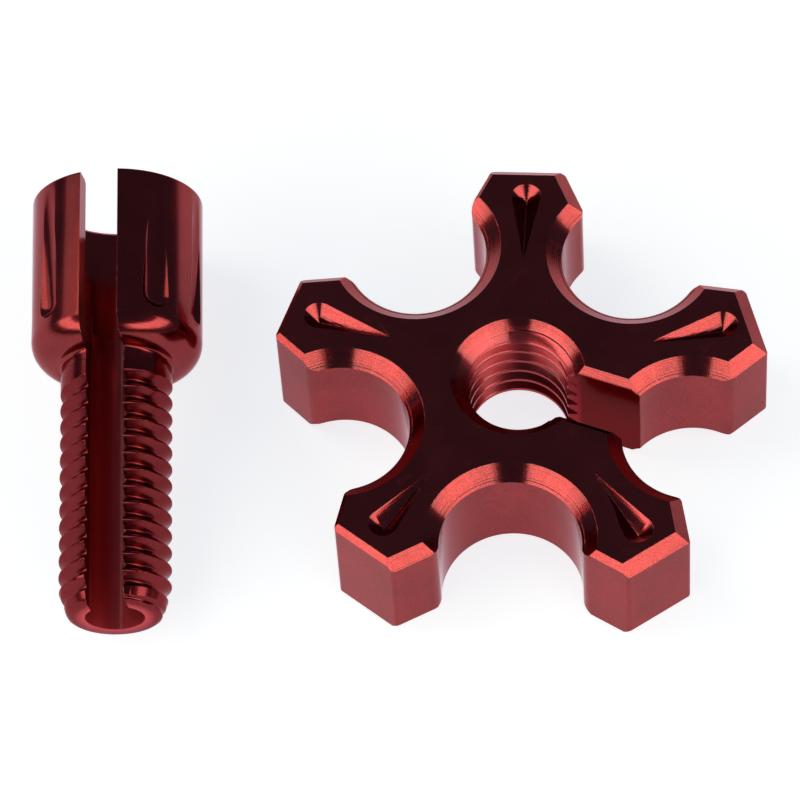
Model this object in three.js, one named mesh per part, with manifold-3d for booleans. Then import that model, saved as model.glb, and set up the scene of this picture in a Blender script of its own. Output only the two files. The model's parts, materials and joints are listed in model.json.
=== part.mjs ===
// Two-piece cable adjuster in red anodised aluminium, millimetres, +Z up.
//
// adjuster_screw  hollow M8 screw with a fluted barrel head, slotted along its whole length
// star_lock_nut   five-lobed thumb nut with the matching thread and a slot through one web
//
// The two pieces lie side by side on one flat surface. The nut lies on its face with its
// thread axis upright. The screw lies on its side, resting on the edge of its head and on
// a thread crest near its tip, with its slot facing up.

import * as THREE from 'three';
import { ConvexGeometry } from 'three/addons/geometries/ConvexGeometry.js';
import { mergeVertices } from 'three/addons/utils/BufferGeometryUtils.js';
import Module from 'manifold-3d';

const wasm = await Module();
wasm.setup();

const DEGREE = Math.PI / 180;

// Thread shared by the two pieces: M8 x 1.25, right-hand
const PITCH = 1.25;
const FLANK = Math.tan(30 * DEGREE);
const RUN_OUT_TURNS = 0.4;

// How finely the round surfaces are faceted, and how far the cutting tools pass a face
const TURN_STEPS = 24;
const HEAD_SEGMENTS = 48;
const SCALLOP_SEGMENTS = 40;
const FLUTE_SEGMENTS = 24;
const ARC_STEPS = 5;
const CORNER_STEPS = 2;
const CUT_PAST = 0.1;
const TOOL_PAST = 0.3;
const SLIVER = 0.01;

// Adjuster screw, measured along its axis from the tip face
const SCREW_LENGTH = 31.3;
const CREST_RADIUS = 3.88;
const ROOT_RADIUS = 3.15;
const NECK_RADIUS = 3.8;
const THREAD_TOP = 17.3;
const NECK_START = 17.9;
const TIP_FACE_RADIUS = 2.95;
const TIP_NOSE = { radius: 3.32, height: 0.3 };
const TIP_TAPER = { radius: 3.72, height: 1.5 };
const CREST_START = 1.8;
const HEAD_RADIUS = 5.95;
const HEAD_EDGE_RADIUS = 1.85;
const HEAD_BARREL_START = 20.6;
const RIM_BREAK = 0.2;
const BORE_RADIUS = 2.05;
const SOCKET_RADIUS = 4.3;
const SOCKET_DEPTH = 9.4;
const SOCKET_LEAD_IN = 0.2;
const SCREW_SLOT_WIDTH = 2.65;
const SCREW_THREAD_PHASE = 0.0;

// Flutes that a ball cutter leaves on the head as it sinks from just below the rim towards
// the shoulder. They are spaced so that the slot takes the place of one.
const FLUTE_COUNT = 9;
const FLUTE_BALL = 1.35;
const FLUTE_START = 30.3;
const FLUTE_CENTRE = 22.0;
const FLUTE_DEPTH = 0.55;

// Star lock nut, measured from its underside and from its thread axis
const NUT_THICKNESS = 9.0;
const LOBE_COUNT = 5;
const LOBE_REACH = 17.0;
const LOBE_END_WIDTH = 5.1;
const LOBE_FACET_ANGLE = 24.5 * DEGREE;
const LOBE_SHOULDER_RADIUS = 1.0;
const LOBE_CORNER_RADIUS = 0.4;
const LOBE_FAR_INSET = 4.2;
const SCALLOP_RADIUS = 4.85;
const SCALLOP_CENTRE = 12.7;
const SCALLOP_CHAMFER = 1.05;
const TIP_CHAMFER = 0.62;
const TIP_OFF_CENTRE = 0.12;
const BEVEL_OFF_CENTRE = -0.25;
const NUT_MINOR_RADIUS = 3.4;
const NUT_MAJOR_RADIUS = 4.06;
const COUNTERSINK_RADIUS = 4.65;
const NUT_SLOT_WIDTH = 3.6;
const NUT_SLOT_CHAMFER = 0.5;
const NUT_SLOT_SCALLOP = 3;
const GROOVE_START = 9.4;
const GROOVE_END = 15.6;
const GROOVE_DEPTH = 1.0;

// Where the pieces lie: the nut's axis from the screw's tip, and how each piece is turned
const NUT_FROM_TIP = { x: 27.77, y: 15.06 };
const NUT_TURN = -3.44 * DEGREE;
const SCREW_ROLL = -8.5 * DEGREE;

const RED = 0xb01c26;

// A closed three.js geometry as a manifold solid
function solid(geometry, matrix = new THREE.Matrix4()) {
  const bare = geometry.clone().applyMatrix4(matrix);
  bare.deleteAttribute('normal');
  bare.deleteAttribute('uv');
  const merged = mergeVertices(bare, 1e-4);
  const corners = merged.index.array;
  const kept = [];
  for (let i = 0; i < corners.length; i += 3) {
    const [a, b, c] = corners.slice(i, i + 3);
    if (a !== b && b !== c && c !== a) kept.push(a, b, c);
  }
  return new wasm.Manifold(new wasm.Mesh({
    numProp: 3,
    vertProperties: new Float32Array(merged.attributes.position.array),
    triVerts: new Uint32Array(kept),
  }));
}

// A manifold solid as a named mesh, without the slivers that the cuts leave
function part(name, body, material) {
  const { vertProperties, triVerts } = body.simplify(SLIVER).getMesh();
  const geometry = new THREE.BufferGeometry();
  geometry.setAttribute('position', new THREE.BufferAttribute(vertProperties, 3));
  geometry.setIndex(new THREE.BufferAttribute(triVerts, 1));
  geometry.computeVertexNormals();
  const mesh = new THREE.Mesh(geometry, material);
  mesh.name = name;
  return mesh;
}

// A solid of revolution about Z from [radius, height] points listed upwards on the outside
function turned(points, segments, matrix = new THREE.Matrix4()) {
  const profile = points.map(([radius, height]) => new THREE.Vector2(radius, height));
  const upright = new THREE.Matrix4().makeRotationX(Math.PI / 2);
  return solid(new THREE.LatheGeometry(profile, segments), matrix.clone().multiply(upright));
}

function arcPoints(x, y, radius, from, to, steps) {
  const arc = new THREE.EllipseCurve(x, y, radius, radius, from, to, to < from, 0);
  return arc.getPoints(steps);
}

// A right-hand helix about Z whose frames keep the profile's depth radial
class ThreadPath extends THREE.Curve {
  constructor(start, turns, runOut) {
    super();
    this.start = start;
    this.turns = turns;
    this.runOut = runOut;
  }

  // How far the cutter has backed out of the work, over the last part of a turn
  lift(t) {
    const turnsLeft = this.turns * (1 - t);
    return Math.max(0, 1 - turnsLeft / RUN_OUT_TURNS) * this.runOut;
  }

  getPoint(t, target = new THREE.Vector3()) {
    const angle = 2 * Math.PI * this.turns * t;
    const radius = ROOT_RADIUS + this.lift(t);
    const height = this.start + PITCH * this.turns * t;
    return target.set(radius * Math.cos(angle), radius * Math.sin(angle), height);
  }

  getPointAt(t, target) {
    return this.getPoint(t, target);
  }

  computeFrenetFrames(steps) {
    const frames = { tangents: [], normals: [], binormals: [] };
    for (let i = 0; i <= steps; i += 1) {
      const angle = 2 * Math.PI * this.turns * (i / steps);
      frames.tangents.push(new THREE.Vector3(-Math.sin(angle), Math.cos(angle), 0));
      frames.normals.push(new THREE.Vector3(Math.cos(angle), Math.sin(angle), 0));
      frames.binormals.push(new THREE.Vector3(0, 0, -1));
    }
    return frames;
  }
}

// The V-shaped helical groove between two radii; half widths are at those radii
function threadGroove({ inner, innerHalf, outer, outerHalf, start, end, runOut = 0 }) {
  const steps = Math.round(((end - start) / PITCH) * TURN_STEPS);
  const profile = new THREE.Shape([
    new THREE.Vector2(inner - ROOT_RADIUS, -innerHalf),
    new THREE.Vector2(outer - ROOT_RADIUS, -outerHalf),
    new THREE.Vector2(outer - ROOT_RADIUS, outerHalf),
    new THREE.Vector2(inner - ROOT_RADIUS, innerHalf),
  ]);
  return solid(new THREE.ExtrudeGeometry(profile, {
    steps,
    extrudePath: new ThreadPath(start, steps / TURN_STEPS, runOut),
  }));
}

// The ball-nosed cutter of one head flute, from beyond the rim down to the flute's deep end
function fluteCutter(angle) {
  const rise = (FLUTE_DEPTH / (FLUTE_START - FLUTE_CENTRE)) * (SCREW_LENGTH + TOOL_PAST - FLUTE_CENTRE);
  const end = new THREE.Vector3(HEAD_RADIUS + FLUTE_BALL - FLUTE_DEPTH, 0, FLUTE_CENTRE);
  const start = new THREE.Vector3(end.x + rise, 0, SCREW_LENGTH + TOOL_PAST);
  const length = start.distanceTo(end);
  const nose = arcPoints(0, length, FLUTE_BALL, 0, Math.PI / 2, ARC_STEPS).map(({ x, y }) => [x, y]);
  nose[nose.length - 1][0] = 0;
  const axis = end.sub(start).normalize();
  const side = new THREE.Vector3(0, 1, 0);
  const place = new THREE.Matrix4()
    .makeBasis(side, new THREE.Vector3().crossVectors(axis, side), axis)
    .setPosition(start);
  const matrix = new THREE.Matrix4().makeRotationZ(angle).multiply(place);
  return turned([[0, 0], [FLUTE_BALL, 0], ...nose], FLUTE_SEGMENTS, matrix);
}

// The shank with the same number of sides as the thread has steps in a turn, bored through
function shankBlank() {
  return turned([
    [BORE_RADIUS, 0],
    [TIP_FACE_RADIUS, 0],
    [TIP_NOSE.radius, TIP_NOSE.height],
    [TIP_TAPER.radius, TIP_TAPER.height],
    [CREST_RADIUS, CREST_START],
    [CREST_RADIUS, NECK_START],
    [BORE_RADIUS, NECK_START],
    [BORE_RADIUS, 0],
  ], TURN_STEPS);
}

// The neck and the barrel head, with the cable socket in its open end
function headBlank() {
  const edgeCentre = HEAD_RADIUS - HEAD_EDGE_RADIUS;
  const headEdge = arcPoints(
    edgeCentre,
    HEAD_BARREL_START,
    HEAD_EDGE_RADIUS,
    -Math.PI / 2,
    0,
    ARC_STEPS,
  );
  const socketFloor = SCREW_LENGTH - SOCKET_DEPTH;
  const neckFoot = NECK_START - CUT_PAST;
  return turned([
    [BORE_RADIUS, neckFoot],
    [NECK_RADIUS, neckFoot],
    [NECK_RADIUS, HEAD_BARREL_START - HEAD_EDGE_RADIUS],
    ...headEdge.map(({ x, y }) => [x, y]),
    [HEAD_RADIUS, SCREW_LENGTH - RIM_BREAK],
    [HEAD_RADIUS - RIM_BREAK, SCREW_LENGTH],
    [SOCKET_RADIUS + SOCKET_LEAD_IN, SCREW_LENGTH],
    [SOCKET_RADIUS, SCREW_LENGTH - SOCKET_LEAD_IN],
    [SOCKET_RADIUS, socketFloor],
    [BORE_RADIUS, socketFloor],
    [BORE_RADIUS, neckFoot],
  ], HEAD_SEGMENTS);
}

// The screw stands on its tip at the origin, with its slot towards +X
function adjusterScrew() {
  const crestHalf = PITCH / 2 - PITCH / 16;
  const groove = threadGroove({
    inner: ROOT_RADIUS,
    innerHalf: crestHalf - (CREST_RADIUS - ROOT_RADIUS) * FLANK,
    outer: CREST_RADIUS + CUT_PAST,
    outerHalf: crestHalf + CUT_PAST * FLANK,
    start: SCREW_THREAD_PHASE * PITCH - PITCH,
    end: THREAD_TOP,
    runOut: CREST_RADIUS - ROOT_RADIUS + CUT_PAST,
  });
  let body = shankBlank().add(headBlank()).subtract(groove);
  for (let i = 1; i < FLUTE_COUNT; i += 1) {
    body = body.subtract(fluteCutter((2 * Math.PI * i) / FLUTE_COUNT));
  }
  const slotLength = SCREW_LENGTH + 2 * TOOL_PAST;
  const slot = new THREE.BoxGeometry(2 * HEAD_RADIUS, SCREW_SLOT_WIDTH, slotLength);
  slot.translate(HEAD_RADIUS, 0, SCREW_LENGTH / 2);
  return body.subtract(solid(slot));
}

// Direction of a lobe, or of the scallop that follows it, from the thread axis
function lobeAngle(index) {
  return Math.PI / 2 + (2 * Math.PI * index) / LOBE_COUNT;
}

function scallopAngle(index) {
  return lobeAngle(index) + Math.PI / LOBE_COUNT;
}

// Centre of the round that joins the side facet from an end corner to the scallop
function lobeShoulder(corner) {
  const along = new THREE.Vector2(-Math.cos(LOBE_FACET_ANGLE), Math.sin(LOBE_FACET_ANGLE));
  const inward = new THREE.Vector2(-along.y, along.x);
  const start = corner.clone().addScaledVector(inward, LOBE_SHOULDER_RADIUS);
  const half = Math.PI / LOBE_COUNT;
  const scallop = new THREE.Vector2(Math.cos(half), Math.sin(half)).multiplyScalar(SCALLOP_CENTRE);
  const gap = scallop.clone().sub(start);
  const b = gap.dot(along);
  const reach = SCALLOP_RADIUS + LOBE_SHOULDER_RADIUS;
  const run = b - Math.sqrt(b * b - gap.lengthSq() + reach * reach);
  const centre = start.addScaledVector(along, run);
  return { centre, towards: scallop.sub(centre).angle() };
}

// Half outline of one lobe along +X: rounded end corner, facet, and the round into the scallop
function lobeSide(corner) {
  const { centre, towards } = lobeShoulder(corner);
  const facet = Math.PI / 2 - LOBE_FACET_ANGLE;
  const x = corner.x - LOBE_CORNER_RADIUS;
  const y = corner.y - LOBE_CORNER_RADIUS * Math.tan(facet / 2);
  return [
    ...arcPoints(x, y, LOBE_CORNER_RADIUS, 0, facet, CORNER_STEPS),
    ...arcPoints(centre.x, centre.y, LOBE_SHOULDER_RADIUS, facet, towards, ARC_STEPS),
  ];
}

// Half outline of one lobe along +X with its facet carried on as a straight line
function straightSide(corner) {
  const rise = LOBE_FAR_INSET * Math.tan(LOBE_FACET_ANGLE);
  return [corner, new THREE.Vector2(corner.x - LOBE_FAR_INSET, corner.y + rise)];
}

// The whole outline, from the half outline of a lobe and how far the tips lie off centre
function lobedShape(sideFrom, offCentre) {
  const middle = new THREE.Vector2();
  const points = [];
  for (let i = 0; i < LOBE_COUNT; i += 1) {
    const angle = lobeAngle(i);
    const shift = new THREE.Vector2(offCentre, 0).rotateAround(middle, -angle);
    const reach = LOBE_REACH + shift.x;
    const left = sideFrom(new THREE.Vector2(reach, LOBE_END_WIDTH / 2 + shift.y));
    const right = sideFrom(new THREE.Vector2(reach, LOBE_END_WIDTH / 2 - shift.y));
    const mirrored = right.map(({ x, y }) => new THREE.Vector2(x, -y)).reverse();
    for (const point of [...mirrored, ...left]) points.push(point.rotateAround(middle, angle));
  }
  return new THREE.Shape(points);
}

// A prism with 45 degree ends that breaks the edges of the lobe tips at one face
function tipBevel(atTop) {
  const slope = TIP_CHAMFER + TOOL_PAST;
  const depth = NUT_THICKNESS + 2 * slope;
  const geometry = new THREE.ExtrudeGeometry(lobedShape(straightSide, BEVEL_OFF_CENTRE), {
    depth,
    bevelEnabled: true,
    bevelThickness: slope,
    bevelSize: slope,
    bevelOffset: -TIP_CHAMFER,
    bevelSegments: 1,
  });
  geometry.translate(0, 0, atTop ? NUT_THICKNESS - depth - slope : slope);
  return solid(geometry);
}

// The cutter of one scallop: a cylinder that flares at both faces
function scallopCutter(index) {
  const wide = SCALLOP_RADIUS + SCALLOP_CHAMFER + TOOL_PAST;
  const angle = scallopAngle(index);
  const matrix = new THREE.Matrix4().makeRotationZ(angle)
    .multiply(new THREE.Matrix4().makeTranslation(SCALLOP_CENTRE, 0, 0));
  return turned([
    [0, -TOOL_PAST],
    [wide, -TOOL_PAST],
    [SCALLOP_RADIUS, SCALLOP_CHAMFER],
    [SCALLOP_RADIUS, NUT_THICKNESS - SCALLOP_CHAMFER],
    [wide, NUT_THICKNESS + TOOL_PAST],
    [0, NUT_THICKNESS + TOOL_PAST],
  ], SCALLOP_SEGMENTS, matrix);
}

// The thread's minor bore with a countersink at each face
function nutBore() {
  const sink = COUNTERSINK_RADIUS - NUT_MINOR_RADIUS;
  return turned([
    [0, -TOOL_PAST],
    [COUNTERSINK_RADIUS + TOOL_PAST, -TOOL_PAST],
    [NUT_MINOR_RADIUS, sink],
    [NUT_MINOR_RADIUS, NUT_THICKNESS - sink],
    [COUNTERSINK_RADIUS + TOOL_PAST, NUT_THICKNESS + TOOL_PAST],
    [0, NUT_THICKNESS + TOOL_PAST],
  ], HEAD_SEGMENTS);
}

// The slot that lets the cable into the bore, with its top and bottom edges broken
function nutSlot() {
  const half = NUT_SLOT_WIDTH / 2;
  const wide = half + NUT_SLOT_CHAMFER + TOOL_PAST;
  const low = NUT_SLOT_CHAMFER;
  const high = NUT_THICKNESS - NUT_SLOT_CHAMFER;
  const section = new THREE.Shape([
    new THREE.Vector2(wide, -TOOL_PAST),
    new THREE.Vector2(half, low),
    new THREE.Vector2(half, high),
    new THREE.Vector2(wide, NUT_THICKNESS + TOOL_PAST),
    new THREE.Vector2(-wide, NUT_THICKNESS + TOOL_PAST),
    new THREE.Vector2(-half, high),
    new THREE.Vector2(-half, low),
    new THREE.Vector2(-wide, -TOOL_PAST),
  ]);
  const geometry = new THREE.ExtrudeGeometry(section, {
    depth: SCALLOP_CENTRE,
    bevelEnabled: false,
  });
  const angle = scallopAngle(NUT_SLOT_SCALLOP);
  const out = new THREE.Vector3(Math.cos(angle), Math.sin(angle), 0);
  const up = new THREE.Vector3(0, 0, 1);
  const across = new THREE.Vector3().crossVectors(up, out);
  return solid(geometry, new THREE.Matrix4().makeBasis(across, up, out));
}

// The path of the pointed 90 degree cutter that sinks outwards into the top of one lobe
function lobeGroove(index) {
  const start = new THREE.Vector3(GROOVE_START, 0, NUT_THICKNESS);
  const end = new THREE.Vector3(GROOVE_END - GROOVE_DEPTH, 0, NUT_THICKNESS - GROOVE_DEPTH);
  const points = [start, end];
  for (let i = 0; i < FLUTE_SEGMENTS; i += 1) {
    const angle = (2 * Math.PI * i) / FLUTE_SEGMENTS;
    for (const point of [start, end]) {
      const height = NUT_THICKNESS + TOOL_PAST - point.z;
      const slant = new THREE.Vector3(Math.cos(angle), Math.sin(angle), 1);
      points.push(slant.multiplyScalar(height).add(point));
    }
  }
  return solid(new ConvexGeometry(points), new THREE.Matrix4().makeRotationZ(lobeAngle(index)));
}

// The nut stands on its underside with its thread axis at the origin
function starLockNut() {
  const outline = lobedShape(lobeSide, TIP_OFF_CENTRE);
  let body = solid(new THREE.ExtrudeGeometry(outline, {
    depth: NUT_THICKNESS,
    bevelEnabled: false,
  }));
  for (let i = 0; i < LOBE_COUNT; i += 1) body = body.subtract(scallopCutter(i));
  body = body.intersect(tipBevel(true)).intersect(tipBevel(false));
  body = body.subtract(nutBore());
  const mouthHalf = (PITCH * 3) / 8;
  body = body.subtract(threadGroove({
    inner: NUT_MINOR_RADIUS - CUT_PAST,
    innerHalf: mouthHalf + CUT_PAST * FLANK,
    outer: NUT_MAJOR_RADIUS,
    outerHalf: mouthHalf - (NUT_MAJOR_RADIUS - NUT_MINOR_RADIUS) * FLANK,
    start: -PITCH / 2,
    end: NUT_THICKNESS + PITCH / 2,
  }));
  body = body.subtract(nutSlot());
  for (let i = 0; i < LOBE_COUNT; i += 1) body = body.subtract(lobeGroove(i));
  return body;
}

// Tilt of the screw's axis when its head edge and a crest near its tip touch the surface
function restingTilt() {
  const run = HEAD_BARREL_START - CREST_START;
  const edgeCentre = HEAD_RADIUS - HEAD_EDGE_RADIUS;
  let tilt = 0;
  for (let i = 0; i < 20; i += 1) {
    const drop = (edgeCentre - CREST_RADIUS) * Math.cos(tilt) + HEAD_EDGE_RADIUS;
    tilt = Math.asin(drop / run);
  }
  return tilt;
}

function layScrew(mesh) {
  const tilt = restingTilt();
  const axis = new THREE.Vector3(0, Math.cos(tilt), Math.sin(tilt));
  const side = new THREE.Vector3(1, 0, 0);
  const up = new THREE.Vector3().crossVectors(side, axis);
  const slot = side.multiplyScalar(Math.sin(SCREW_ROLL)).addScaledVector(up, Math.cos(SCREW_ROLL));
  const across = new THREE.Vector3().crossVectors(axis, slot);
  mesh.quaternion.setFromRotationMatrix(new THREE.Matrix4().makeBasis(slot, across, axis));
  mesh.position.z = -new THREE.Box3().setFromObject(mesh, true).min.z;
}

function anodised(name) {
  const material = new THREE.MeshStandardMaterial({ color: RED, roughness: 0.3, metalness: 0.9 });
  material.name = name;
  return material;
}

const assembly = new THREE.Group();
assembly.name = 'cable_adjuster';

const screw = part('adjuster_screw', adjusterScrew(), anodised('screw_anodised'));
layScrew(screw);
assembly.add(screw);

const nut = part('star_lock_nut', starLockNut(), anodised('nut_anodised'));
nut.position.set(NUT_FROM_TIP.x, NUT_FROM_TIP.y, 0);
nut.rotation.z = NUT_TURN;
assembly.add(nut);

// The origin is under the middle of the two pieces, on the surface that they lie on
const box = new THREE.Box3().setFromObject(assembly, true);
assembly.position.set(-(box.min.x + box.max.x) / 2, -(box.min.y + box.max.y) / 2, -box.min.z);

export default assembly;
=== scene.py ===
# Two-piece cable adjuster in red anodised aluminium: a slotted barrel screw and a star lock nut.
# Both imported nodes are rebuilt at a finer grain, with procedural finishes, lights and a camera.
# Shapes are made in millimetres in each piece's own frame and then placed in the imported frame.

import json
import math

import bmesh
import bpy
from mathutils import Matrix, Vector


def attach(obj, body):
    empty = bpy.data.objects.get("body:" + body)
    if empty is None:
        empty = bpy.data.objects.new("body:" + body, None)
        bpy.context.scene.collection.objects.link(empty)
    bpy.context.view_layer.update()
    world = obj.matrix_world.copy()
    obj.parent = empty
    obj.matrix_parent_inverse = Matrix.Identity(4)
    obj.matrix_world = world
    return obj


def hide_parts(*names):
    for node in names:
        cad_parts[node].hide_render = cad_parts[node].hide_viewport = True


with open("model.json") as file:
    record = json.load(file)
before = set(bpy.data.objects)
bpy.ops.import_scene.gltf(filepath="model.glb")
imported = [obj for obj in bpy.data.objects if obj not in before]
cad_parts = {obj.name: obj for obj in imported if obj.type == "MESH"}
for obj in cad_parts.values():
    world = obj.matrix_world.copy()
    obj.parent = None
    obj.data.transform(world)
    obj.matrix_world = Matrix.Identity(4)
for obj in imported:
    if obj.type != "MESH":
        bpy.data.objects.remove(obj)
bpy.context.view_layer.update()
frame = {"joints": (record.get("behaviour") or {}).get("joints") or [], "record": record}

MM = 0.001
SHARP = math.radians(33)
MERGE_DISTANCE = 0.0005

# Thread shared by the two pieces
PITCH = 1.25
FLANK = math.tan(math.radians(30))
TURN_STEPS = 96
LATHE_SEGMENTS = TURN_STEPS * 2
CREST_BREAK = 0.05
CREST_FLARE = 2
ROOT_ROUND = 0.04
RUN_OUT_TURNS = 0.4

# Adjuster screw, along its axis from the tip face
SCREW_LENGTH = 31.3
CREST_RADIUS = 3.87
ROOT_RADIUS = 3.15
SCREW_MOUTH_HALF = PITCH * 7 / 16
THREAD_TURNS = 14 + 5 / 6
TIP_PROFILE = (
    (2.95, 0), (3.1, 0.06), (3.25, 0.17), (3.36, 0.36), (3.72, 1.5), (CREST_RADIUS, 1.8),
)
NECK_RADIUS = 3.8
NECK_START = 17.9
NECK_STEP = 0.08
HEAD_RADIUS = 5.94
HEAD_EDGE_RADIUS = 1.85
HEAD_EDGE_STEPS = 28
HEAD_BARREL_START = 20.6
NECK_FILLET = 0.25
NECK_FILLET_STEPS = 6
RIM_BREAK = 0.2
RIM_BREAK_ANGLE = 0.3
RIM_BREAK_STEPS = 4
BORE_RADIUS = 2.05
SOCKET_RADIUS = 4.3
SOCKET_DEPTH = 9.4
SOCKET_LEAD_IN = 0.2
SCREW_SLOT_WIDTH = 2.65
SCREW_SLOT_REACH = 8
SCREW_ROLL = math.radians(-8.5)
FLUTE_COUNT = 9
FLUTE_BALL = 1.35
FLUTE_BALL_STEPS = 24
FLUTE_SEGMENTS = 96
FLUTE_START = 30.3
FLUTE_CENTRE = 22.0
FLUTE_DEPTH = 0.55
TIP_MOUNT_RADIUS = 2.5

# Star lock nut, from its underside and its thread axis
NUT_THICKNESS = 9.0
LOBE_COUNT = 5
LOBE_REACH = 16.99
LOBE_END_WIDTH = 5.1
LOBE_FACET = math.radians(24.5)
LOBE_SHOULDER = 1.0
LOBE_SHOULDER_STEPS = 20
LOBE_CORNER = 0.4
LOBE_CORNER_STEPS = 8
LOBE_FAR_INSET = 4.2
SCALLOP_RADIUS = 4.85
SCALLOP_SEGMENTS = 240
SCALLOP_CENTRE = 12.7
SCALLOP_CHAMFER = 1.05
SCALLOP_LEDGE = 0.2
SCALLOP_LEDGE_STEP = 0.035
TIP_CHAMFER = 0.62
TIP_OFF_CENTRE = 0.12
BEVEL_OFF_CENTRE = -0.25
NUT_MINOR_RADIUS = 3.4
NUT_MAJOR_RADIUS = 4.06
NUT_MOUTH_HALF = PITCH * 3 / 8
COUNTERSINK_RADIUS = 4.65
NUT_SLOT_WIDTH = 3.6
NUT_SLOT_CHAMFER = 0.5
NUT_SLOT_SCALLOP = 3
GROOVE_START = 9.4
GROOVE_END = 15.6
GROOVE_DEPTH = 1.0
GROOVE_NOSE = 0.03
GROOVE_SEGMENTS = 96
NUT_TURN = math.radians(-3.44)

# How far a cutter reaches past the face it cuts through
PAST = 0.3


def mesh_object(name, verts, faces):
    """A closed mesh object from vertices and faces, with its faces turned outward."""
    mesh = bpy.data.meshes.new(name)
    mesh.from_pydata([tuple(v) for v in verts], [], faces)
    bm = bmesh.new()
    bm.from_mesh(mesh)
    bmesh.ops.recalc_face_normals(bm, faces=bm.faces)
    bm.to_mesh(mesh)
    bm.free()
    made = bpy.data.objects.new(name, mesh)
    bpy.context.scene.collection.objects.link(made)
    return made


def lofted(name, rings):
    """Joins rings of equally many points, and caps the end rings."""
    count = len(rings[0])
    verts = [v for ring in rings for v in ring]
    faces = []
    for i in range(len(rings) - 1):
        low = i * count
        high = low + count
        for j in range(count):
            k = (j + 1) % count
            faces.append((low + j, low + k, high + k, high + j))
    faces.append(tuple(range(count)))
    faces.append(tuple(range((len(rings) - 1) * count, len(rings) * count)))
    return mesh_object(name, verts, faces)


def turned(name, profile, segments, matrix=Matrix.Identity(4)):
    """A solid of revolution about Z from (radius, height) points; radius 0 ends in a point."""
    verts = []
    rings = []
    for radius, height in profile:
        if radius == 0:
            rings.append([len(verts)] * segments)
            verts.append(matrix @ Vector((0, 0, height)))
            continue
        rings.append(list(range(len(verts), len(verts) + segments)))
        for j in range(segments):
            angle = 2 * math.pi * j / segments
            point = Vector((radius * math.cos(angle), radius * math.sin(angle), height))
            verts.append(matrix @ point)
    on_axis = profile[0][0] == 0
    spans = len(rings) - 1 if on_axis else len(rings)
    faces = []
    for i in range(spans):
        low = rings[i]
        high = rings[(i + 1) % len(rings)]
        for j in range(segments):
            k = (j + 1) % segments
            corners = list(dict.fromkeys((low[j], low[k], high[k], high[j])))
            if len(corners) > 2:
                faces.append(corners)
    return mesh_object(name, verts, faces)


def carve(body, tool, operation="DIFFERENCE"):
    """Combines body with tool, and removes the tool."""
    cut = body.modifiers.new("cut", "BOOLEAN")
    cut.operation = operation
    cut.solver = "MANIFOLD"
    cut.object = tool
    bpy.context.view_layer.update()
    graph = bpy.context.evaluated_depsgraph_get()
    mesh = bpy.data.meshes.new_from_object(body.evaluated_get(graph))
    old = body.data
    body.modifiers.clear()
    body.data = mesh
    bpy.data.meshes.remove(old)
    bpy.data.objects.remove(tool)
    return body


def arc(x, y, radius, start, end, steps):
    """Points on an arc, both ends included, angles in radians."""
    points = []
    for i in range(steps + 1):
        angle = start + (end - start) * i / steps
        points.append((x + radius * math.cos(angle), y + radius * math.sin(angle)))
    return points


def thread_cutter(half_profile, start, turns, run_out=0.0):
    """The helical V groove. half_profile holds (radius, half width), from the root outward."""
    steps = round(turns * TURN_STEPS)
    loop = [(r, -w) for r, w in half_profile] + [(r, w) for r, w in reversed(half_profile)]
    rings = []
    for i in range(steps + 1):
        turn = i / TURN_STEPS
        angle = 2 * math.pi * turn
        lift = max(0.0, 1 - (turns - turn) / RUN_OUT_TURNS) * run_out
        rings.append([
            Vector((
                (r + lift) * math.cos(angle),
                (r + lift) * math.sin(angle),
                start + PITCH * turn + w,
            ))
            for r, w in loop
        ])
    return lofted("thread_cutter", rings)


def flute_cutter(angle):
    """The ball-nosed cutter of one head flute, from beyond the rim to the flute's deep end."""
    slope = FLUTE_DEPTH / (FLUTE_START - FLUTE_CENTRE)
    reach = SCREW_LENGTH + PAST - FLUTE_CENTRE
    end = Vector((HEAD_RADIUS + FLUTE_BALL - FLUTE_DEPTH, 0, FLUTE_CENTRE))
    start = end + Vector((slope * reach, 0, reach))
    axis = (end - start).normalized()
    side = Vector((0, 1, 0))
    place = Matrix((side, axis.cross(side), axis)).transposed().to_4x4()
    place.translation = start
    length = (end - start).length
    ball = arc(0, length, FLUTE_BALL, 0, math.pi / 2, FLUTE_BALL_STEPS)
    profile = [(0, 0), (FLUTE_BALL, 0)] + ball[:-1] + [(0, length + FLUTE_BALL)]
    turn = Matrix.Rotation(angle, 4, "Z")
    return turned("flute_cutter", profile, FLUTE_SEGMENTS, turn @ place)


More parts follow.
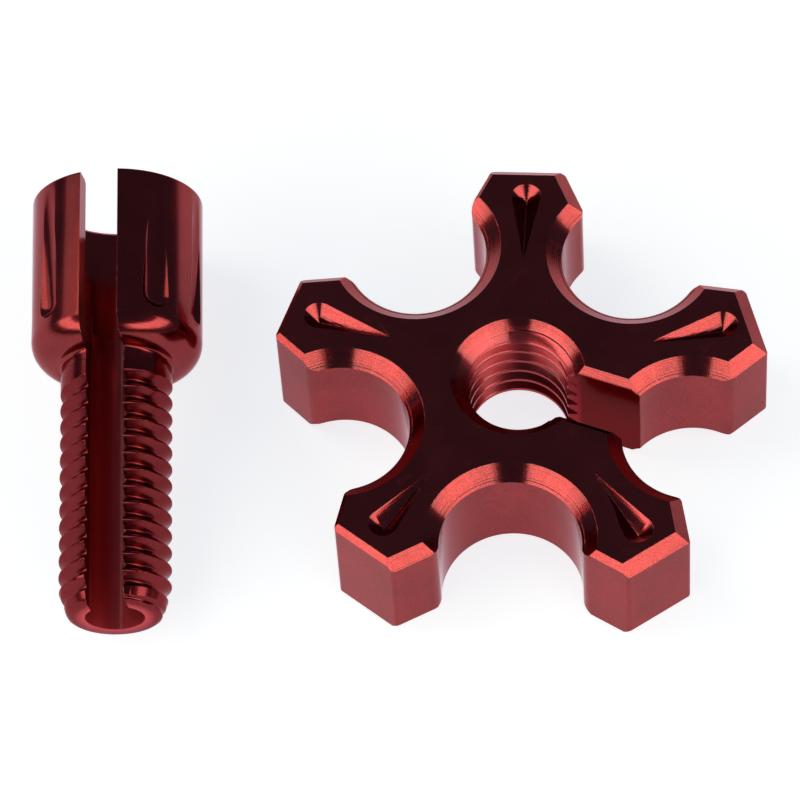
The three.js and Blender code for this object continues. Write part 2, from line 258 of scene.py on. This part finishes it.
def screw_body():
    """The screw on its tip at the origin, with its slot towards +X."""
    edge = HEAD_RADIUS - HEAD_EDGE_RADIUS
    under = HEAD_BARREL_START - HEAD_EDGE_RADIUS
    floor = SCREW_LENGTH - SOCKET_DEPTH
    foot = arc(
        NECK_RADIUS + NECK_FILLET, under - NECK_FILLET, NECK_FILLET,
        math.pi, math.pi / 2, NECK_FILLET_STEPS,
    )
    shoulder = arc(edge, HEAD_BARREL_START, HEAD_EDGE_RADIUS, -math.pi / 2, 0, HEAD_EDGE_STEPS)
    rim = arc(
        HEAD_RADIUS - RIM_BREAK, SCREW_LENGTH - RIM_BREAK, RIM_BREAK,
        RIM_BREAK_ANGLE, math.pi / 2, RIM_BREAK_STEPS,
    )
    profile = [
        (BORE_RADIUS, 0),
        *TIP_PROFILE,
        (CREST_RADIUS, NECK_START),
        (NECK_RADIUS, NECK_START + NECK_STEP),
        *foot,
        *shoulder,
        (HEAD_RADIUS, SCREW_LENGTH - RIM_BREAK),
        *rim,
        (SOCKET_RADIUS + SOCKET_LEAD_IN, SCREW_LENGTH),
        (SOCKET_RADIUS, SCREW_LENGTH - SOCKET_LEAD_IN),
        (SOCKET_RADIUS, floor),
        (BORE_RADIUS, floor),
    ]
    body = turned("adjuster_screw_visual", profile, LATHE_SEGMENTS)
    mouth_half = SCREW_MOUTH_HALF
    root_half = mouth_half - (CREST_RADIUS - ROOT_RADIUS) * FLANK
    groove = [
        (ROOT_RADIUS, root_half - ROOT_ROUND),
        (ROOT_RADIUS + ROOT_ROUND, root_half + ROOT_ROUND * FLANK),
        (CREST_RADIUS - CREST_BREAK, mouth_half - CREST_BREAK * FLANK),
        (CREST_RADIUS + CREST_BREAK, mouth_half + CREST_BREAK * CREST_FLARE),
    ]
    run_out = CREST_RADIUS - ROOT_RADIUS + CREST_BREAK
    carve(body, thread_cutter(groove, -PITCH, THREAD_TURNS, run_out))
    for i in range(1, FLUTE_COUNT):
        carve(body, flute_cutter(2 * math.pi * i / FLUTE_COUNT))
    half = SCREW_SLOT_WIDTH / 2
    reach = SCREW_SLOT_REACH
    section = [Vector(p) for p in ((0, -half), (reach, -half), (reach, half), (0, half))]
    return carve(body, stacked("slot_cutter", [(-PAST, section), (SCREW_LENGTH + PAST, section)]))


def lobe_angle(index):
    """The direction of a lobe, anticlockwise from +X. Lobe 0 is at the back."""
    return math.pi / 2 + 2 * math.pi * index / LOBE_COUNT


def scallop_angle(index):
    """The direction of the scallop that follows a lobe."""
    return lobe_angle(index) + math.pi / LOBE_COUNT


def lobe_side(corner):
    """Half outline of a lobe along +X: rounded corner, facet, and the round into the scallop."""
    along = Vector((-math.cos(LOBE_FACET), math.sin(LOBE_FACET)))
    inward = Vector((-along.y, along.x))
    start = corner + inward * LOBE_SHOULDER
    half = math.pi / LOBE_COUNT
    scallop = Vector((math.cos(half), math.sin(half))) * SCALLOP_CENTRE
    gap = scallop - start
    b = gap.dot(along)
    reach = SCALLOP_RADIUS + LOBE_SHOULDER
    centre = start + along * (b - math.sqrt(b * b - gap.length_squared + reach * reach))
    towards = scallop - centre
    end = math.atan2(towards.y, towards.x)
    facet = math.pi / 2 - LOBE_FACET
    x = corner.x - LOBE_CORNER
    y = corner.y - LOBE_CORNER * math.tan(facet / 2)
    rounded = arc(x, y, LOBE_CORNER, 0, facet, LOBE_CORNER_STEPS)
    into_scallop = arc(*centre, LOBE_SHOULDER, facet, end, LOBE_SHOULDER_STEPS)
    return [Vector(point) for point in rounded + into_scallop]


def straight_side(corner):
    """Half outline of a lobe with a sharp corner, for the bevels of the lobe tips."""
    rise = LOBE_FAR_INSET * math.tan(LOBE_FACET)
    return [corner, corner + Vector((-LOBE_FAR_INSET, rise))]


def star_outline(side, off_centre):
    """The whole outline, from the half outline of a lobe and how far the tips lie off centre."""
    points = []
    for i in range(LOBE_COUNT):
        angle = lobe_angle(i)
        turn = Matrix.Rotation(angle, 2)
        shift = turn.inverted() @ Vector((off_centre, 0))
        left = side(Vector((LOBE_REACH + shift.x, LOBE_END_WIDTH / 2 + shift.y)))
        right = side(Vector((LOBE_REACH + shift.x, LOBE_END_WIDTH / 2 - shift.y)))
        lobe = [Vector((p.x, -p.y)) for p in reversed(right)] + left
        points += [turn @ p for p in lobe]
    return points


def grown(outline, by):
    """An outline listed anticlockwise, with every edge moved outward."""
    moved = []
    count = len(outline)
    for i, point in enumerate(outline):
        before = (point - outline[i - 1]).normalized()
        after = (outline[(i + 1) % count] - point).normalized()
        out_before = Vector((before.y, -before.x))
        out_after = Vector((after.y, -after.x))
        bisector = out_before + out_after
        moved.append(point + bisector * (by / (1 + out_before.dot(out_after))))
    return moved


def stacked(name, layers):
    """A prism through outlines at given heights."""
    return lofted(name, [[Vector((p.x, p.y, z)) for p in outline] for z, outline in layers])


def lobe_groove(index):
    """The path of the pointed 90 degree cutter that sinks outwards into the top of one lobe."""
    start = Vector((GROOVE_START, 0, NUT_THICKNESS))
    end = Vector((GROOVE_END - GROOVE_DEPTH, 0, NUT_THICKNESS - GROOVE_DEPTH))
    turn = Matrix.Rotation(lobe_angle(index), 4, "Z")
    bm = bmesh.new()
    for point in (start, end):
        height = NUT_THICKNESS + PAST - point.z
        for x, y in arc(0, 0, 1, 0, 2 * math.pi, GROOVE_SEGMENTS)[1:]:
            nose = point + Vector((x, y, 0)) * GROOVE_NOSE
            bm.verts.new(turn @ nose)
            bm.verts.new(turn @ (nose + Vector((x, y, 1)) * height))
    hull = bmesh.ops.convex_hull(bm, input=bm.verts)
    bmesh.ops.delete(bm, geom=list(set(hull["geom_interior"])), context="VERTS")
    mesh = bpy.data.meshes.new("groove_cutter")
    bm.to_mesh(mesh)
    bm.free()
    made = bpy.data.objects.new("groove_cutter", mesh)
    bpy.context.scene.collection.objects.link(made)
    return made


def nut_body():
    """The nut on its underside, with its thread axis at the origin."""
    top = NUT_THICKNESS
    outline = star_outline(lobe_side, TIP_OFF_CENTRE)
    body = stacked("star_lock_nut_visual", [(0, outline), (top, outline)])
    ends = star_outline(straight_side, BEVEL_OFF_CENTRE)
    bevel = stacked("tip_bevel", [
        (-PAST, grown(ends, -TIP_CHAMFER - PAST)),
        (TIP_CHAMFER + PAST, grown(ends, PAST)),
        (top - TIP_CHAMFER - PAST, grown(ends, PAST)),
        (top + PAST, grown(ends, -TIP_CHAMFER - PAST)),
    ])
    carve(body, bevel, "INTERSECT")
    for i in range(LOBE_COUNT):
        angle = scallop_angle(i)
        matrix = Matrix.Rotation(angle, 4, "Z") @ Matrix.Translation((SCALLOP_CENTRE, 0, 0))
        wide = SCALLOP_RADIUS + SCALLOP_CHAMFER + PAST
        ledge = SCALLOP_RADIUS + SCALLOP_LEDGE
        depth = SCALLOP_CHAMFER - SCALLOP_LEDGE
        step = SCALLOP_LEDGE_STEP
        carve(body, turned("scallop_cutter", [
            (0, -PAST),
            (wide, -PAST),
            (ledge, depth),
            (ledge - step, depth),
            (SCALLOP_RADIUS, SCALLOP_CHAMFER - step),
            (SCALLOP_RADIUS, top - SCALLOP_CHAMFER + step),
            (ledge - step, top - depth),
            (ledge, top - depth),
            (wide, top + PAST),
            (0, top + PAST),
        ], SCALLOP_SEGMENTS, matrix))
    sink = COUNTERSINK_RADIUS - NUT_MINOR_RADIUS
    carve(body, turned("bore_cutter", [
        (0, -PAST),
        (COUNTERSINK_RADIUS + PAST, -PAST),
        (NUT_MINOR_RADIUS, sink),
        (NUT_MINOR_RADIUS, top - sink),
        (COUNTERSINK_RADIUS + PAST, top + PAST),
        (0, top + PAST),
    ], LATHE_SEGMENTS))
    mouth_half = NUT_MOUTH_HALF
    root_half = mouth_half - (NUT_MAJOR_RADIUS - NUT_MINOR_RADIUS) * FLANK
    groove = [
        (NUT_MINOR_RADIUS - CREST_BREAK, mouth_half + CREST_BREAK * CREST_FLARE),
        (NUT_MINOR_RADIUS + CREST_BREAK, mouth_half - CREST_BREAK * FLANK),
        (NUT_MAJOR_RADIUS - ROOT_ROUND, root_half + ROOT_ROUND * FLANK),
        (NUT_MAJOR_RADIUS, root_half - ROOT_ROUND),
    ]
    carve(body, thread_cutter(groove, -PITCH / 2, (top + PITCH) / PITCH))
    half = NUT_SLOT_WIDTH / 2
    wide = half + NUT_SLOT_CHAMFER + PAST
    low = NUT_SLOT_CHAMFER
    high = top - NUT_SLOT_CHAMFER
    section = [
        (wide, -PAST), (half, low), (half, high), (wide, top + PAST),
        (-wide, top + PAST), (-half, high), (-half, low), (-wide, -PAST),
    ]
    turn = Matrix.Rotation(scallop_angle(NUT_SLOT_SCALLOP), 4, "Z")
    rings = [[turn @ Vector((x, y, z)) for y, z in section] for x in (0, SCALLOP_CENTRE)]
    carve(body, lofted("slot_cutter", rings))
    for i in range(LOBE_COUNT):
        carve(body, lobe_groove(i))
    return body


def finish_shape(piece, matrix):
    """Merges stray points, marks the edges that stay sharp, and puts the shape in its place."""
    bm = bmesh.new()
    bm.from_mesh(piece.data)
    bmesh.ops.remove_doubles(bm, verts=bm.verts, dist=MERGE_DISTANCE)
    bmesh.ops.dissolve_degenerate(bm, dist=MERGE_DISTANCE, edges=bm.edges)
    for face in bm.faces:
        face.smooth = True
    for edge in bm.edges:
        edge.smooth = edge.is_manifold and edge.calc_face_angle(math.pi) < SHARP
    bmesh.ops.transform(bm, matrix=matrix @ Matrix.Scale(MM, 4), verts=bm.verts)
    bm.to_mesh(piece.data)
    bm.free()
    return piece


# Where the pieces lie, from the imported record: the screw by its tip face, the nut by its joint
mounts = {m["name"]: m for m in frame["record"]["mounts"]}
tip = mounts["screw_tip_face"]
screw_axis = -Vector(tip["axis"]).normalized()
screw_side = Vector((1, 0, 0))
screw_up = screw_side.cross(screw_axis)
screw_slot = screw_side * math.sin(SCREW_ROLL) + screw_up * math.cos(SCREW_ROLL)
screw_across = screw_axis.cross(screw_slot)
tip_centre = Vector(tip["pos_m"]) + screw_slot * TIP_MOUNT_RADIUS * MM
screw_matrix = Matrix((screw_slot, screw_across, screw_axis)).transposed().to_4x4()
screw_matrix.translation = tip_centre
nut_centre = Vector(frame["joints"][0]["pos_m"])
nut_centre.z = 0
nut_matrix = Matrix.Translation(nut_centre) @ Matrix.Rotation(NUT_TURN, 4, "Z")

screw = finish_shape(screw_body(), screw_matrix)
nut = finish_shape(nut_body(), nut_matrix)


class Nodes:
    """Short calls for building one material's node tree."""

    def __init__(self, name):
        self.material = bpy.data.materials.new(name)
        self.material.use_nodes = True
        self.tree = self.material.node_tree
        self.tree.nodes.clear()

    def add(self, kind, inputs=None, **settings):
        """A new node. Each input is a number, a vector, a colour or another node's socket."""
        node = self.tree.nodes.new(kind)
        for key, value in settings.items():
            setattr(node, key, value)
        for key, value in (inputs or {}).items():
            if isinstance(value, bpy.types.NodeSocket):
                self.tree.links.new(value, node.inputs[key])
            else:
                node.inputs[key].default_value = value
        return node

    def math(self, operation, *values):
        """One operation on sockets and numbers."""
        inputs = dict(enumerate(values))
        return self.add("ShaderNodeMath", inputs, operation=operation).outputs[0]

    def length(self, x, y):
        """The length of a flat vector."""
        squares = self.math("ADD", self.math("POWER", x, 2.0), self.math("POWER", y, 2.0))
        return self.math("SQRT", squares)

    def noise(self, vector, scale, detail=2.0, rough=0.5):
        """Grey noise, around 0.5."""
        inputs = {"Vector": vector, "Scale": scale, "Detail": detail, "Roughness": rough}
        return self.add("ShaderNodeTexNoise", inputs).outputs["Fac"]

    def mix(self, factor, low, high):
        """A colour mix. The node has float, vector and colour sockets under the same names."""
        node = self.add("ShaderNodeMix", {0: factor}, data_type="RGBA")
        for socket, value in zip([s for s in node.inputs if s.type == "RGBA"], (low, high)):
            if isinstance(value, bpy.types.NodeSocket):
                self.tree.links.new(value, socket)
            else:
                socket.default_value = value
        return next(s for s in node.outputs if s.type == "RGBA")

    def ramp(self, value, low, high, to_low=0.0, to_high=1.0):
        """A straight ramp from to_low at low to to_high at high, level outside."""
        inputs = {0: value, 1: low, 2: high, 3: to_low, 4: to_high}
        return self.add("ShaderNodeMapRange", inputs).outputs[0]

    def finished(self, shader):
        """The material, with shader as its surface."""
        self.add("ShaderNodeOutputMaterial", {"Surface": shader.outputs[0]})
        return self.material


# Colours of the dye: plain and worn thin; a brighter red in the bores, which is painted bounce light;
# a darker red where it is dull, which in the nut's slot and thread roots is painted shade; and a
# lighter red on edges, which is a painted glint
DEEP_RED = (0.15, 0.006, 0.009, 1)
WORN_RED = (0.34, 0.028, 0.027, 1)
BORE_BOUNCE_LIT_RED = (0.52, 0.06, 0.07, 1)
DULL_AND_SHADED_RED = (0.105, 0.004, 0.009, 1)
EDGE_GLINT_RED = (0.55, 0.16, 0.14, 1)
GRAZING_TINT = (0.7, 0.36, 0.42, 1)

# Noises of the finish: cycles per metre, detail, roughness
FINE_GRAIN = (13000.0, 3.0, 0.6)
CLOUDS = (260.0, 3.0, 0.55)
GLINT_PATCH_NOISE = (2600.0, 2.0)
LATHE_RINGS = (14000.0, 2.0, 0.6)
CUTTER_LINES = (11000.0, 2.0, 0.6)

# Relief of the finish, in metres and as shares of it
RELIEF = 0.00002
RELIEF_STRENGTH = 0.3
GRAIN_HEIGHT = 0.4
NICK_HEIGHT = 0.8
EDGE_ROUND = 0.00006
EDGE_SAMPLES = 4

# Hairline scratches
NICK_SCALE = 330.0
NICK_BEND_SCALE = 198.0
NICK_PATCH_SCALE = 561.0
NICK_WIDTH = 0.006
NICK_PATCHES = (0.64, 0.66)

# Where the dye is worn, and which edges get the painted glint
CLOUD_SHARE = 0.35
WORN = (0.52, 0.83)
ON_EDGE = (0.97, 0.85)
GLINT_PATCH_RAMP = (0.5, 0.62)

# Roughness and clear coat
GLOSS_GRAIN = (0.6, 1.4)
SCREW_GLOSS = (0.1, 0.18)
NUT_GLOSS = (0.09, 0.17)
INSIDE_ROUGHER = 0.3
DULL_ROUGHER = 0.12
NICKS_ROUGHER = 0.25
COAT_WEIGHT = (0.5, 0.1)
COAT_ROUGHNESS = 0.1
COAT_IOR = 1.5

# Zones of the screw and the nut, in metres
SCREW_BORE_WALL = (0.0028, 0.0022)
HEAD_TO_THREAD = (0.0186, 0.0173)
HEAD_TO_THREAD_DULL = (0.3, 0.65)
NUT_BORE_WALL = (0.0044, 0.0040)
NUT_BORE_ROUGH_AND_LIT = 0.4
NUT_SLOT_WALLS = (0.0019, 0.0018)
NUT_SLOT_START = (0.003, 0.0033)
NUT_SLOT_DULL_AND_SHADE = 0.9
NUT_ROOTS_FROM = (0.00344, 0.00352)
NUT_ROOTS_TO = (0.0042, 0.0041)
NUT_ROOTS_HALF_HEIGHT = 0.0034
NUT_ROOTS_DULL_AND_SHADE = 0.85

# Cutter marks of the nut: lines and chatter, strongest on the top chamfers
LINE_HEIGHT = 2.2
CHATTER = (30.0, 3.0, 0.7)
CHATTER_SLANT = 60.0
CHATTER_HEIGHT = 0.5
MARKS_ON_WALLS = 0.25
MARKS_MORE_ON_CHAMFERS = 0.75


def own_position(n, matrix):
    """The surface point in metres in the piece's own frame, whole and as x, y and z."""
    placed = n.add("ShaderNodeTexCoord").outputs["Object"]
    inputs = {0: placed, 1: matrix.translation}
    offset = n.add("ShaderNodeVectorMath", inputs, operation="SUBTRACT")
    parts = {}
    for name, axis in zip("XYZ", matrix.to_3x3().col):
        inputs = {0: offset.outputs[0], 1: axis}
        dot = n.add("ShaderNodeVectorMath", inputs, operation="DOT_PRODUCT")
        parts[name] = dot.outputs["Value"]
    return n.add("ShaderNodeCombineXYZ", parts).outputs[0], parts["X"], parts["Y"], parts["Z"]


def scratches(n, position):
    """Sparse hairline scratches, 1 on a scratch."""
    bend = n.noise(position, NICK_BEND_SCALE)
    bent = n.add("ShaderNodeVectorMath", {0: position, 1: bend}, operation="ADD").outputs[0]
    voronoi = {"Vector": bent, "Scale": NICK_SCALE}
    cells = n.add("ShaderNodeTexVoronoi", voronoi, feature="DISTANCE_TO_EDGE")
    thin = n.ramp(cells.outputs["Distance"], NICK_WIDTH, 0.0)
    patch = n.ramp(n.noise(position, NICK_PATCH_SCALE, 1.0), *NICK_PATCHES)
    return n.math("MULTIPLY", thin, patch)


def anodised(name, matrix, finish, gloss):
    """Red anodised aluminium. finish gives the tool marks, the inner surfaces (painted bounce light)
    and the dull ones (painted shade in the nut's slot and roots); edges get a painted glint.
    """
    n = Nodes(name)
    position, x, y, z = own_position(n, matrix)
    fine = n.noise(position, *FINE_GRAIN)
    cloud = n.noise(position, *CLOUDS)
    marks, inside, dull_and_shade = finish(n, x, y, z)
    nicks = scratches(n, position)

    height = n.math("ADD", n.math("MULTIPLY", fine, GRAIN_HEIGHT), marks)
    height = n.math("SUBTRACT", height, n.math("MULTIPLY", nicks, NICK_HEIGHT))
    edge = n.add("ShaderNodeBevel", {"Radius": EDGE_ROUND}, samples=EDGE_SAMPLES).outputs[0]
    bump = n.add("ShaderNodeBump", {
        "Strength": RELIEF_STRENGTH,
        "Distance": RELIEF,
        "Height": height,
        "Normal": edge,
    })

    worn = n.ramp(n.math("ADD", n.math("MULTIPLY", cloud, CLOUD_SHARE), fine), *WORN)
    colour = n.mix(n.math("MAXIMUM", worn, nicks), DEEP_RED, WORN_RED)
    # A darker red on the screw's thread, and painted shade in the nut's slot and thread roots
    colour = n.mix(dull_and_shade, colour, DULL_AND_SHADED_RED)
    # Painted bounce light: a brighter red in the bores
    colour = n.mix(inside, colour, BORE_BOUNCE_LIT_RED)
    # Painted glint: a lighter red along the edges, in patches
    true_normal = n.add("ShaderNodeNewGeometry").outputs["True Normal"]
    turn = n.add("ShaderNodeVectorMath", {0: edge, 1: true_normal}, operation="DOT_PRODUCT")
    on_edge = n.ramp(turn.outputs["Value"], *ON_EDGE)
    glint_patches = n.ramp(n.noise(position, *GLINT_PATCH_NOISE), *GLINT_PATCH_RAMP)
    colour = n.mix(n.math("MULTIPLY", on_edge, glint_patches), colour, EDGE_GLINT_RED)

    rough = n.ramp(n.math("ADD", fine, cloud), *GLOSS_GRAIN, *gloss)
    rough = n.math("ADD", rough, n.math("MULTIPLY", inside, INSIDE_ROUGHER))
    rough = n.math("ADD", rough, n.math("MULTIPLY", dull_and_shade, DULL_ROUGHER))
    rough = n.math("ADD", rough, n.math("MULTIPLY", nicks, NICKS_ROUGHER))

    shader = n.add("ShaderNodeBsdfPrincipled", {
        "Base Color": colour,
        "Metallic": 1.0,
        "Specular Tint": GRAZING_TINT,
        "Roughness": rough,
        "Coat Weight": n.ramp(dull_and_shade, 0.0, 1.0, *COAT_WEIGHT),
        "Coat Roughness": COAT_ROUGHNESS,
        "Coat IOR": COAT_IOR,
        "Normal": bump.outputs[0],
    })
    return n.finished(shader)


def screw_finish(n, x, y, z):
    """Rings left by the lathe, the rougher bore with its painted bounce light, and the thread, which
    is darker and duller.
    """
    rings = n.noise(n.add("ShaderNodeCombineXYZ", {"Z": z}).outputs[0], *LATHE_RINGS)
    # The bore is rougher and gets painted bounce light
    bore = n.ramp(n.length(x, y), *SCREW_BORE_WALL)
    thread = n.ramp(z, *HEAD_TO_THREAD, *HEAD_TO_THREAD_DULL)
    return rings, bore, thread


def nut_marks(n, x, y, z):
    """Lines along the walls and chamfers, and a little chatter around each scallop."""
    sector = 2 * math.pi / LOBE_COUNT
    from_first = n.math("SUBTRACT", n.math("ARCTAN2", y, x), scallop_angle(0))
    sectors = n.math("ROUND", n.math("DIVIDE", from_first, sector))
    centre = n.math("ADD", n.math("MULTIPLY", sectors, sector), scallop_angle(0))
    reach = SCALLOP_CENTRE * MM
    across_x = n.math("SUBTRACT", x, n.math("MULTIPLY", n.math("COSINE", centre), reach))
    across_y = n.math("SUBTRACT", y, n.math("MULTIPLY", n.math("SINE", centre), reach))
    around = n.math("ARCTAN2", across_y, across_x)
    lines = n.noise(n.add("ShaderNodeCombineXYZ", {"X": z}).outputs[0], *CUTTER_LINES)
    slanted = n.math("MULTIPLY", z, CHATTER_SLANT)
    chatter = n.noise(n.add("ShaderNodeCombineXYZ", {"X": around, "Y": slanted}).outputs[0], *CHATTER)
    lines = n.math("MULTIPLY", lines, LINE_HEIGHT)
    marks = n.math("ADD", lines, n.math("MULTIPLY", chatter, CHATTER_HEIGHT))
    on_chamfer = n.math("COMPARE", z, NUT_THICKNESS * MM, SCALLOP_CHAMFER * MM)
    share = n.math("MULTIPLY", on_chamfer, MARKS_MORE_ON_CHAMFERS)
    return n.math("MULTIPLY", marks, n.math("ADD", share, MARKS_ON_WALLS))


def nut_finish(n, x, y, z):
    """Cutter marks, the rougher bore with its painted bounce light, and the sawn slot and thread
    roots, duller and darkened as painted shade.
    """
    radius = n.length(x, y)
    # The bore's share of painted bounce light and extra roughness
    bore = n.math("MULTIPLY", n.ramp(radius, *NUT_BORE_WALL), NUT_BORE_ROUGH_AND_LIT)
    slot_angle = scallop_angle(NUT_SLOT_SCALLOP)
    slot_x, slot_y = math.cos(slot_angle), math.sin(slot_angle)
    out = n.math("ADD", n.math("MULTIPLY", x, slot_x), n.math("MULTIPLY", y, slot_y))
    aside = n.math("SUBTRACT", n.math("MULTIPLY", y, slot_x), n.math("MULTIPLY", x, slot_y))
    in_slot = n.ramp(n.math("ABSOLUTE", aside), *NUT_SLOT_WALLS)
    past_bore = n.ramp(out, *NUT_SLOT_START)
    # Painted shade in the slot, which is also duller
    slot = n.math("MULTIPLY", n.math("MULTIPLY", in_slot, past_bore), NUT_SLOT_DULL_AND_SHADE)
    below_crest = n.ramp(radius, *NUT_ROOTS_FROM)
    above_root = n.ramp(radius, *NUT_ROOTS_TO)
    between_sinks = n.math("COMPARE", z, NUT_THICKNESS * MM / 2, NUT_ROOTS_HALF_HEIGHT)
    roots = n.math("MULTIPLY", n.math("MULTIPLY", below_crest, above_root), between_sinks)
    # Painted shade in the thread roots, which are also duller
    roots = n.math("MULTIPLY", roots, NUT_ROOTS_DULL_AND_SHADE)
    return nut_marks(n, x, y, z), bore, n.math("MAXIMUM", slot, roots)


for piece, node, body, slot, matrix, finish, gloss in (
    (screw, "adjuster_screw", "screw", "screw_anodised", screw_matrix, screw_finish, SCREW_GLOSS),
    (nut, "star_lock_nut", "nut", "nut_anodised", nut_matrix, nut_finish, NUT_GLOSS),
):
    piece.data.materials.clear()
    piece.data.materials.append(anodised(slot, matrix, finish, gloss))
    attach(piece, body)
    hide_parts(node)


# A pale floor that glows near the pieces and fades with distance, in metres
FLOOR_COLOUR = (0.5, 0.5, 0.5, 1)
FLOOR_TINT = (0.95, 0.97, 1.0, 1)
FLOOR_GLOW = 0.8
FLOOR_FADE = (0.055, 0.22)
FLOOR_FADE_TO = (1.0, 0.15)
FLOOR_GRAIN = (60.0, 4.0, 0.6)
FLOOR_ROUGHNESS = (0.75, 0.9)
FLOOR_SPECULAR = 0.1
FLOOR_HALF = 3.0
FLOOR_DROP = 0.00001


def floor_material():
    """The floor's own light and grain."""
    n = Nodes("floor_pale")
    position = n.add("ShaderNodeTexCoord").outputs["Object"]
    grain = n.noise(position, *FLOOR_GRAIN)
    away = n.add("ShaderNodeVectorMath", {0: position}, operation="LENGTH").outputs["Value"]
    lit = n.ramp(away, *FLOOR_FADE, *FLOOR_FADE_TO)
    shader = n.add("ShaderNodeBsdfPrincipled", {
        "Base Color": FLOOR_COLOUR,
        "Roughness": n.ramp(grain, 0.3, 0.7, *FLOOR_ROUGHNESS),
        "Specular IOR Level": FLOOR_SPECULAR,
        "Emission Color": FLOOR_TINT,
        "Emission Strength": n.math("MULTIPLY", lit, FLOOR_GLOW),
    })
    return n.finished(shader)


floor = mesh_object(
    "floor",
    [
        Vector((x * FLOOR_HALF, y * FLOOR_HALF, -FLOOR_DROP))
        for x, y in ((-1, -1), (1, -1), (1, 1), (-1, 1))
    ],
    [(0, 1, 2, 3)],
)
floor.data.materials.append(floor_material())


# Camera, at the distance and angle that the perspective of the two pieces gives
CAMERA_FROM_NUT = Vector((4.362, -211.122, 357.151)) * MM
CAMERA_AZIMUTH = math.radians(3.392)
CAMERA_ELEVATION = math.radians(58.923)
CAMERA_ROLL = math.radians(-4.554)
FOCAL_PIXELS = 5959.3
IMAGE_PIXELS = 800
SENSOR_WIDTH = 36.0
CLIP = (0.01, 20.0)

forward = Vector((
    -math.sin(CAMERA_AZIMUTH) * math.cos(CAMERA_ELEVATION),
    math.cos(CAMERA_AZIMUTH) * math.cos(CAMERA_ELEVATION),
    -math.sin(CAMERA_ELEVATION),
))
level = Vector((math.cos(CAMERA_AZIMUTH), math.sin(CAMERA_AZIMUTH), 0))
rise = level.cross(forward)
right = level * math.cos(CAMERA_ROLL) + rise * math.sin(CAMERA_ROLL)
up = rise * math.cos(CAMERA_ROLL) - level * math.sin(CAMERA_ROLL)
lens = bpy.data.cameras.new("camera")
lens.sensor_width = SENSOR_WIDTH
lens.lens = SENSOR_WIDTH * FOCAL_PIXELS / IMAGE_PIXELS
lens.clip_start, lens.clip_end = CLIP
camera = bpy.data.objects.new("camera", lens)
bpy.context.scene.collection.objects.link(camera)
camera.matrix_world = Matrix((right, up, -forward)).transposed().to_4x4()
camera.matrix_world.translation = nut_centre + CAMERA_FROM_NUT
bpy.context.scene.camera = camera


RING_TINT = (1.0, 0.96, 0.8)


def panel(name, azimuth, elevation, distance, width, height, radiance):
    """A soft box. Azimuth 0 is on the camera's side and turns towards +X."""
    a = math.radians(azimuth)
    e = math.radians(elevation)
    towards = Vector((math.sin(a) * math.cos(e), -math.cos(a) * math.cos(e), math.sin(e)))
    place = towards * distance
    light = bpy.data.lights.new(name, "AREA")
    light.shape = "RECTANGLE"
    light.size = width
    light.size_y = height
    light.energy = radiance * math.pi * width * height
    light.color = RING_TINT
    lamp = bpy.data.objects.new(name, light)
    bpy.context.scene.collection.objects.link(lamp)
    aim = place.to_track_quat("Z", "Y").to_matrix().to_4x4()
    lamp.matrix_world = Matrix.Translation(place) @ aim


# A ring of narrow soft boxes on each side of the camera, as azimuth, spread in degrees and
# radiance. The right side fades in at its inner edge.
RING_ELEVATION = 23.5
RING_DISTANCE = 1.0
RING_HEIGHT = 0.335
RING = (
    (14, 4, 1.6), (18, 4, 2.9), (32.5, 25, 3.7), (57.5, 25, 3.7), (80, 20, 3.4),
    (-34.5, 25, 3.7), (-59.5, 25, 3.7), (-84.5, 25, 3.4),
)
for azimuth, spread, radiance in RING:
    radius = RING_DISTANCE * math.cos(math.radians(RING_ELEVATION))
    width = 2 * radius * math.tan(math.radians(spread / 2))
    name = f"ring_{'right' if azimuth > 0 else 'left'}_{abs(azimuth):g}"
    panel(name, azimuth, RING_ELEVATION, RING_DISTANCE, width, RING_HEIGHT, radiance)

# Two more boxes behind the left side, one low and one high
panel("back_left", -112, 27, 1.0, 0.49, 0.3, 0.9)
panel("high_left", -114, 54, 1.1, 0.5, 0.66, 2.0)

ROOM_TINT = (0.9, 1.25, 1.6, 1)
ROOM_LIGHT = 0.1
world = bpy.data.worlds.new("dim_studio")
world.use_nodes = True
background = world.node_tree.nodes["Background"]
background.inputs["Color"].default_value = ROOM_TINT
background.inputs["Strength"].default_value = ROOM_LIGHT
bpy.context.scene.world = world
bpy.context.scene.view_settings.view_transform = "Standard"
